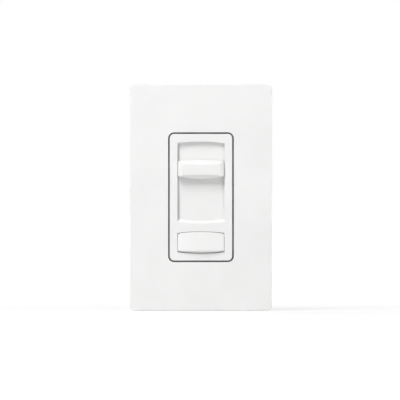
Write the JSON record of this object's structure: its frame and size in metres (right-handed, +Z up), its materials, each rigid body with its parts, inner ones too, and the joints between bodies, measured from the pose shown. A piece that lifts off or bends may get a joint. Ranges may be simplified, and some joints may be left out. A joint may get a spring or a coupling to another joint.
{
  "type": "fan speed control",
  "caption": "Wall-box fan speed control: a vertical slider over a push paddle in a screwless cover plate, with a yoke and a rear housing.",
  "frame": {"origin": "centre of the cover plate on the wall plane, midway between the box screws", "axes": "+X to the right seen from the room, +Y into the wall, +Z up"},
  "size_m": [0.0746, 0.0427, 0.119],
  "materials": {
    "white_plate": "satin moulded polycarbonate",
    "white_insert": "smooth moulded plastic",
    "adapter_grey": "plain moulded plastic",
    "inner_white": "plain moulded plastic",
    "yoke_metal": "brushed",
    "zinc": "zinc plated",
    "steel": "bright",
    "brass": "plain",
    "copper": "enamelled wire",
    "silver": "plain",
    "ground_green": "green dyed zinc",
    "black_case": "moulded thermoset",
    "black_epoxy": "moulded epoxy",
    "fibre": "vulcanised fibre",
    "film_sheet": "thin polyester sheet",
    "board_green": "solder-masked laminate",
    "phenolic": "phenolic strip",
    "ferrite": "sintered",
    "film_yellow": "boxed film capacitor",
    "film_blue": "boxed film capacitor",
    "resistor_tan": "lacquered",
    "glass_red": "glass body",
    "nylon": "natural nylon"
  },
  "bodies": {
    "device": {"cover_plate": "white_plate", "adapter_plate": "adapter_grey", "adapter_screws": "zinc", "bezel": "white_insert", "track_plate": "inner_white", "yoke": "yoke_metal", "mounting_screws": "zinc", "screw_retainers": "fibre", "ground_screw": "ground_green", "case_screws": "zinc", "insulator_sheet": "film_sheet", "housing": "black_case", "terminal_straps": "brass", "terminal_screws": "brass", "circuit_board": "board_green", "pot_frame": "steel", "pot_element": "phenolic", "triac_leadframe": "steel", "triac_body": "black_epoxy", "triac_rivet": "zinc", "choke_core": "ferrite", "choke_winding": "copper", "filter_capacitor": "film_yellow", "timing_capacitor": "film_blue", "resistors": "resistor_tan", "diac": "glass_red", "switch_base": "black_case", "switch_cover": "black_case", "plunger_spring": "steel", "cam_pin": "steel", "fixed_contacts": "silver", "switch_blades": "brass"},
    "slider": {"slide_knob": "white_insert", "slide_carriage": "inner_white", "pot_wiper": "nylon"},
    "paddle": {"paddle": "white_insert"},
    "plunger": {"switch_plunger": "nylon"},
    "rocker": {"toggle_cam": "nylon", "contact_arm": "brass", "moving_contacts": "silver"}
  },
  "joints": [
    {"name": "speed_slide", "type": "slide", "parent": "device", "child": "slider", "axis": [0, 0, 1], "range_m": [-0.0217, 0.009]},
    {"name": "paddle_press", "type": "hinge", "parent": "device", "child": "paddle", "pos_m": [0, -0.0053, -0.0194], "axis": [1, 0, 0], "range_deg": [0, 10], "stiffness_Nm_per_rad": 0.12, "springref_deg": -5.73},
    {"name": "plunger_slide", "type": "slide", "parent": "device", "child": "plunger", "axis": [0, 1, 0], "range_m": [0, 0.0014], "deforming": ["plunger_spring"]},
    {"name": "contact_toggle", "type": "hinge", "parent": "device", "child": "rocker", "pos_m": [0, 0.0175, -0.0268], "axis": [0, 0, 1], "range_deg": [0, 16]}
  ],
  "couplings": [
    {"joint": "plunger_slide", "follows": "paddle_press", "m_per_rad": 0.0076}
  ]
}
